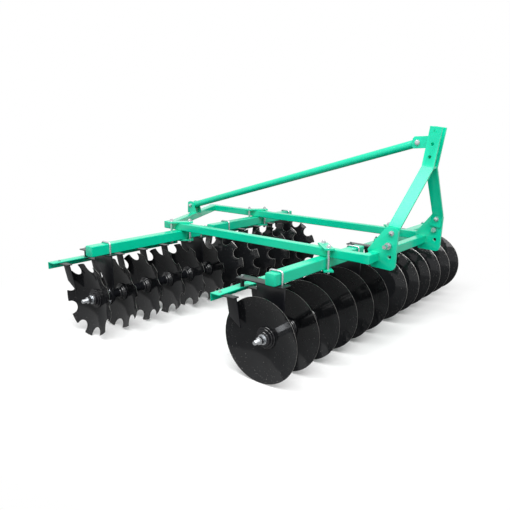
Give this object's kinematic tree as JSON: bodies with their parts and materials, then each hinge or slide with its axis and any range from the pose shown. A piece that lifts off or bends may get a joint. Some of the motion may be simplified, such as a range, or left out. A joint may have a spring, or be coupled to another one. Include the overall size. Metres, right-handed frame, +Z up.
{
  "type": "disc harrow",
  "caption": "Tractor-mounted tandem disc harrow with plain and notched disc gangs under a welded frame, with a three-point hitch and mast.",
  "frame": {"origin": "on the ground, on the centre line of the hitch, in the middle of the whole harrow's box", "axes": "+Z up, -Y towards the tractor, +X to the implement's left"},
  "size_m": [2.63, 2.1766, 1.2958],
  "materials": {
    "green_paint": "gloss",
    "black_paint": "gloss",
    "disc_steel": "gloss",
    "zinc": "satin"
  },
  "bodies": {
    "frame": {"main_frame": "green_paint", "mast": "green_paint", "stay_tube": "green_paint", "hitch_pin_right": "zinc", "hitch_pin_left": "zinc", "gang_beam_front_right": "green_paint", "clamp_front_right": "green_paint", "scraper_bar_front_right": "green_paint", "hanger_front_right_1": "black_paint", "hanger_front_right_2": "black_paint", "gang_beam_front_left": "green_paint", "clamp_front_left": "green_paint", "scraper_bar_front_left": "green_paint", "hanger_front_left_1": "black_paint", "hanger_front_left_2": "black_paint", "gang_beam_rear_right": "green_paint", "clamp_rear_right": "green_paint", "scraper_bar_rear_right": "green_paint", "hanger_rear_right_1": "black_paint", "hanger_rear_right_2": "black_paint", "gang_beam_rear_left": "green_paint", "clamp_rear_left": "green_paint", "scraper_bar_rear_left": "green_paint", "hanger_rear_left_1": "black_paint", "hanger_rear_left_2": "black_paint"},
    "gang_front_right": {"axle_front_right": "black_paint", "disc_front_right_1": "disc_steel", "disc_front_right_2": "disc_steel", "disc_front_right_3": "disc_steel", "disc_front_right_4": "disc_steel", "disc_front_right_5": "disc_steel", "disc_front_right_6": "disc_steel"},
    "gang_front_left": {"axle_front_left": "black_paint", "disc_front_left_1": "disc_steel", "disc_front_left_2": "disc_steel", "disc_front_left_3": "disc_steel", "disc_front_left_4": "disc_steel", "disc_front_left_5": "disc_steel", "disc_front_left_6": "disc_steel"},
    "gang_rear_right": {"axle_rear_right": "black_paint", "disc_rear_right_1": "disc_steel", "disc_rear_right_2": "disc_steel", "disc_rear_right_3": "disc_steel", "disc_rear_right_4": "disc_steel", "disc_rear_right_5": "disc_steel", "disc_rear_right_6": "disc_steel"},
    "gang_rear_left": {"axle_rear_left": "black_paint", "disc_rear_left_1": "disc_steel", "disc_rear_left_2": "disc_steel", "disc_rear_left_3": "disc_steel", "disc_rear_left_4": "disc_steel", "disc_rear_left_5": "disc_steel", "disc_rear_left_6": "disc_steel"}
  },
  "joints": [
    {"name": "gang_front_right_spin", "type": "hinge", "parent": "frame", "child": "gang_front_right", "pos_m": [-0.48, -0.6337, 0.23], "axis": [1, 0, 0], "continuous": true},
    {"name": "gang_front_left_spin", "type": "hinge", "parent": "frame", "child": "gang_front_left", "pos_m": [0.685, -0.6337, 0.23], "axis": [1, 0, 0], "continuous": true},
    {"name": "gang_rear_right_spin", "type": "hinge", "parent": "frame", "child": "gang_rear_right", "pos_m": [-0.665, 0.5663, 0.23], "axis": [1, 0, 0], "continuous": true},
    {"name": "gang_rear_left_spin", "type": "hinge", "parent": "frame", "child": "gang_rear_left", "pos_m": [0.44, 0.5663, 0.23], "axis": [1, 0, 0], "continuous": true}
  ]
}
